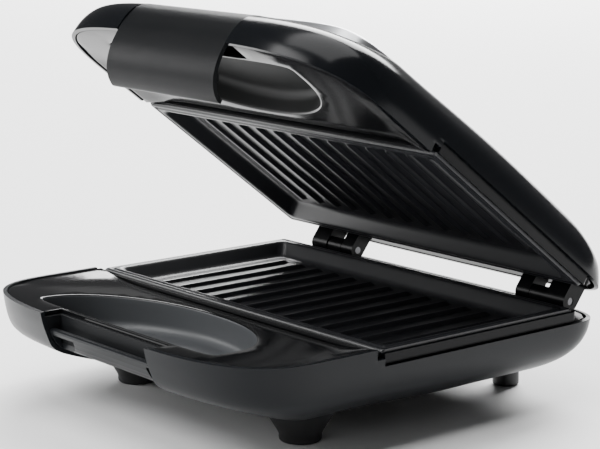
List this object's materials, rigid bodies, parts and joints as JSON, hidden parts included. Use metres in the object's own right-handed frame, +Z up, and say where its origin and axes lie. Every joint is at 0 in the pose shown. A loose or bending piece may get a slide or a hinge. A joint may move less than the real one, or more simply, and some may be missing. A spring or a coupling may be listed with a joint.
{
  "type": "sandwich toaster",
  "caption": "Countertop toaster with two ribbed hot plates in a hinged clamshell body, a front grip latch, finger scoops in both halves and round feet.",
  "frame": {"origin": "middle of the bounding box at table height, with the lid standing open as in the picture, feet on z = 0", "axes": "+Z up, -Y towards the latch at the front, +Y towards the hinges at the rear, +X to the object's own right"},
  "size_m": [0.236, 0.2494, 0.2042],
  "materials": {
    "casing_dark": "satin moulded",
    "casing_gloss": "polished",
    "lid_gloss": "glossy moulded",
    "carrier": "satin heat-resistant plastic",
    "nonstick": "semi-gloss non-stick coating on cast aluminium",
    "element": "sheathed tube, dull",
    "sheet": "mill finish",
    "ceramic": "glazed, pale",
    "wire": "sleeved",
    "rubber_black": "matte",
    "screw_steel": "zinc plated",
    "pin_steel": "ground",
    "panel_steel": "fine brushed",
    "lens_red": "clear moulded",
    "lens_green": "clear moulded",
    "board": "bonded paper board",
    "latch_grained": "fine grained"
  },
  "bodies": {
    "base": {"base_shell": "casing_dark", "base_deck": "casing_gloss", "latch_keeper": "casing_dark", "base_plate_carrier": "carrier", "base_plate": "nonstick", "base_element": "element", "base_element_clamps": "sheet", "base_reflector": "sheet", "thermostat": "ceramic", "thermal_fuse": "ceramic", "terminal_block": "ceramic", "mains_wiring": "wire", "cord_gland": "rubber_black", "front_feet": "rubber_black", "rear_feet": "rubber_black", "base_screws": "screw_steel", "base_plate_screws": "screw_steel", "hinge_towers": "carrier", "hinge_pins": "pin_steel"},
    "lid": {"lid_shell": "lid_gloss", "lid_deck": "casing_gloss", "latch_housing": "carrier", "lid_plate_carrier": "carrier", "lid_plate": "nonstick", "lid_element": "element", "lid_element_clamps": "sheet", "lid_reflector": "sheet", "lid_plate_screws": "screw_steel", "top_panel": "panel_steel", "power_lens": "lens_red", "ready_lens": "lens_green", "lamp_board": "board", "hinge_ears": "carrier", "lid_screws": "screw_steel"},
    "latch": {"latch": "latch_grained", "latch_pins": "pin_steel", "latch_springs": "pin_steel"}
  },
  "joints": [
    {"name": "lid_hinge", "type": "hinge", "parent": "base", "child": "lid", "pos_m": [0, 0.10301, 0.051], "axis": [-1, 0, 0], "range_deg": [-37.6, 42.4]},
    {"name": "latch_pivot", "type": "hinge", "parent": "lid", "child": "latch", "pos_m": [0, -0.05971, 0.19651], "axis": [-1, 0, 0], "range_deg": [0, 22], "stiffness_Nm_per_rad": 0.03, "springref_deg": -20.05}
  ]
}
